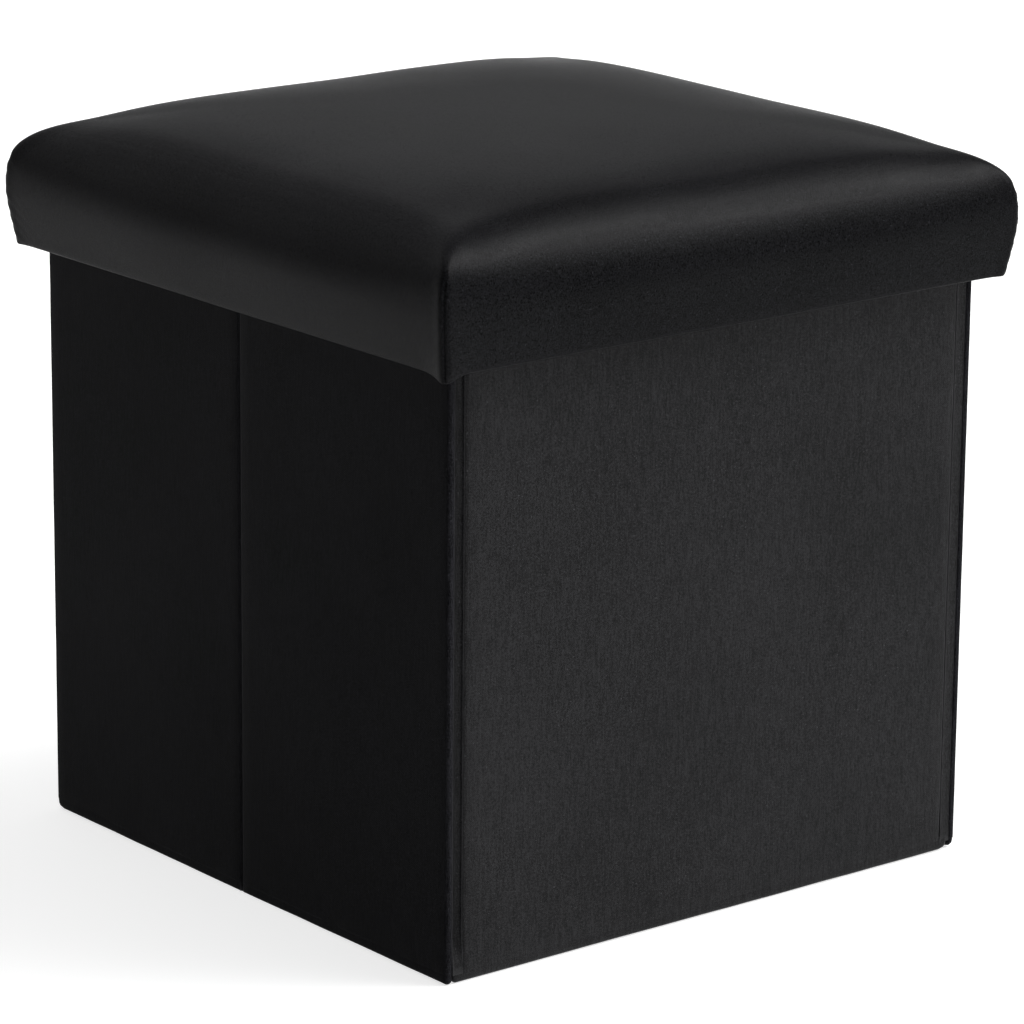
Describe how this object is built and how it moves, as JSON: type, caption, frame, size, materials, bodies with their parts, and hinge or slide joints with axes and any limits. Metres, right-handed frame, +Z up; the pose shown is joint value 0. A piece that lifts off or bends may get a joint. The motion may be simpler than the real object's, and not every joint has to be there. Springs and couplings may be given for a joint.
{
  "type": "folding storage ottoman",
  "caption": "Cube storage ottoman with a lift-off padded lid, fold-flat cloth-covered walls and a hinged base board.",
  "frame": {"origin": "on the floor under the middle of the body", "axes": "+Z up, -Y towards the front wall (a whole wall), +X to the right seen from the front; the side walls with the middle folds face -X and +X"},
  "size_m": [0.38, 0.38, 0.392],
  "materials": {
    "front_wall_skin": "satin",
    "front_wall_board": "matte",
    "front_wall_lining": "matte",
    "front_wall_hem": "satin",
    "front_wall_binding": "satin",
    "front_left_corner_strip": "satin",
    "front_right_corner_strip": "satin",
    "bottom_cloth": "matte",
    "back_wall_skin": "satin",
    "back_wall_board": "matte",
    "back_wall_lining": "matte",
    "back_wall_hem": "satin",
    "back_wall_binding": "satin",
    "back_left_corner_strip": "satin",
    "back_right_corner_strip": "satin",
    "base_hinge_tape": "matte",
    "left_front_panel_skin": "satin",
    "left_front_panel_board": "matte",
    "left_front_panel_lining": "matte",
    "left_front_panel_hem": "satin",
    "left_front_panel_binding": "satin",
    "left_fold_strip": "satin",
    "left_back_panel_skin": "satin",
    "left_back_panel_board": "matte",
    "left_back_panel_lining": "matte",
    "left_back_panel_hem": "satin",
    "left_back_panel_binding": "satin",
    "right_front_panel_skin": "satin",
    "right_front_panel_board": "matte",
    "right_front_panel_lining": "matte",
    "right_front_panel_hem": "satin",
    "right_front_panel_binding": "satin",
    "right_fold_strip": "satin",
    "right_back_panel_skin": "satin",
    "right_back_panel_board": "matte",
    "right_back_panel_lining": "matte",
    "right_back_panel_hem": "satin",
    "right_back_panel_binding": "satin",
    "base_cover": "matte",
    "base_panel": "matte",
    "lid_cover": "satin",
    "lid_foam": "matte",
    "lid_board": "matte",
    "lid_lining": "matte",
    "lid_rim_front": "matte",
    "lid_rim_back": "matte",
    "lid_rim_left": "matte",
    "lid_rim_right": "matte"
  },
  "bodies": {
    "front_wall": {"front_wall_skin": "front_wall_skin", "front_wall_board": "front_wall_board", "front_wall_lining": "front_wall_lining", "front_wall_hem": "front_wall_hem", "front_wall_binding": "front_wall_binding", "front_left_corner_strip": "front_left_corner_strip", "front_right_corner_strip": "front_right_corner_strip", "bottom_cloth": "bottom_cloth"},
    "back_wall": {"back_wall_skin": "back_wall_skin", "back_wall_board": "back_wall_board", "back_wall_lining": "back_wall_lining", "back_wall_hem": "back_wall_hem", "back_wall_binding": "back_wall_binding", "back_left_corner_strip": "back_left_corner_strip", "back_right_corner_strip": "back_right_corner_strip", "base_hinge_tape": "base_hinge_tape"},
    "left_front_panel": {"left_front_panel_skin": "left_front_panel_skin", "left_front_panel_board": "left_front_panel_board", "left_front_panel_lining": "left_front_panel_lining", "left_front_panel_hem": "left_front_panel_hem", "left_front_panel_binding": "left_front_panel_binding", "left_fold_strip": "left_fold_strip"},
    "left_back_panel": {"left_back_panel_skin": "left_back_panel_skin", "left_back_panel_board": "left_back_panel_board", "left_back_panel_lining": "left_back_panel_lining", "left_back_panel_hem": "left_back_panel_hem", "left_back_panel_binding": "left_back_panel_binding"},
    "right_front_panel": {"right_front_panel_skin": "right_front_panel_skin", "right_front_panel_board": "right_front_panel_board", "right_front_panel_lining": "right_front_panel_lining", "right_front_panel_hem": "right_front_panel_hem", "right_front_panel_binding": "right_front_panel_binding", "right_fold_strip": "right_fold_strip"},
    "right_back_panel": {"right_back_panel_skin": "right_back_panel_skin", "right_back_panel_board": "right_back_panel_board", "right_back_panel_lining": "right_back_panel_lining", "right_back_panel_hem": "right_back_panel_hem", "right_back_panel_binding": "right_back_panel_binding"},
    "base_board": {"base_cover": "base_cover", "base_panel": "base_panel"},
    "lid": {"lid_cover": "lid_cover", "lid_foam": "lid_foam", "lid_board": "lid_board", "lid_lining": "lid_lining", "lid_rim_front": "lid_rim_front", "lid_rim_back": "lid_rim_back", "lid_rim_left": "lid_rim_left", "lid_rim_right": "lid_rim_right"}
  },
  "joints": [
    {"name": "fold", "type": "hinge", "parent": "front_wall", "child": "left_front_panel", "pos_m": [-0.1685, -0.163, 0], "axis": [0, 0, -1], "range_deg": [0, 90], "deforming": ["front_left_corner_strip", "bottom_cloth", "left_front_panel_hem", "front_wall_hem"]},
    {"name": "left_middle_fold", "type": "hinge", "parent": "left_front_panel", "child": "left_back_panel", "pos_m": [-0.1735, 0, 0], "axis": [0, 0, 1], "range_deg": [0, 180], "deforming": ["left_fold_strip", "left_back_panel_hem"]},
    {"name": "back_left_corner", "type": "hinge", "parent": "left_back_panel", "child": "back_wall", "pos_m": [-0.1685, 0.163, 0], "axis": [0, 0, -1], "range_deg": [0, 90], "deforming": ["back_left_corner_strip", "back_right_corner_strip"]},
    {"name": "front_right_corner", "type": "hinge", "parent": "front_wall", "child": "right_front_panel", "pos_m": [0.1685, -0.163, 0], "axis": [0, 0, 1], "range_deg": [0, 90], "deforming": ["front_right_corner_strip", "right_front_panel_hem"]},
    {"name": "right_middle_fold", "type": "hinge", "parent": "right_front_panel", "child": "right_back_panel", "pos_m": [0.1735, 0, 0], "axis": [0, 0, -1], "range_deg": [0, 180], "deforming": ["right_fold_strip", "right_back_panel_hem"]},
    {"name": "base_hinge", "type": "hinge", "parent": "back_wall", "child": "base_board", "pos_m": [0, 0.1673, 0.0042], "axis": [-1, 0, 0], "range_deg": [0, 90]},
    {"name": "lid_lift", "type": "slide", "parent": "front_wall", "child": "lid", "axis": [0, 0, 1], "range_m": [0, 0.25]}
  ],
  "couplings": [
    {"joint": "left_middle_fold", "follows": "fold", "ratio": 2},
    {"joint": "back_left_corner", "follows": "fold", "ratio": 1},
    {"joint": "front_right_corner", "follows": "fold", "ratio": 1},
    {"joint": "right_middle_fold", "follows": "fold", "ratio": 2}
  ]
}
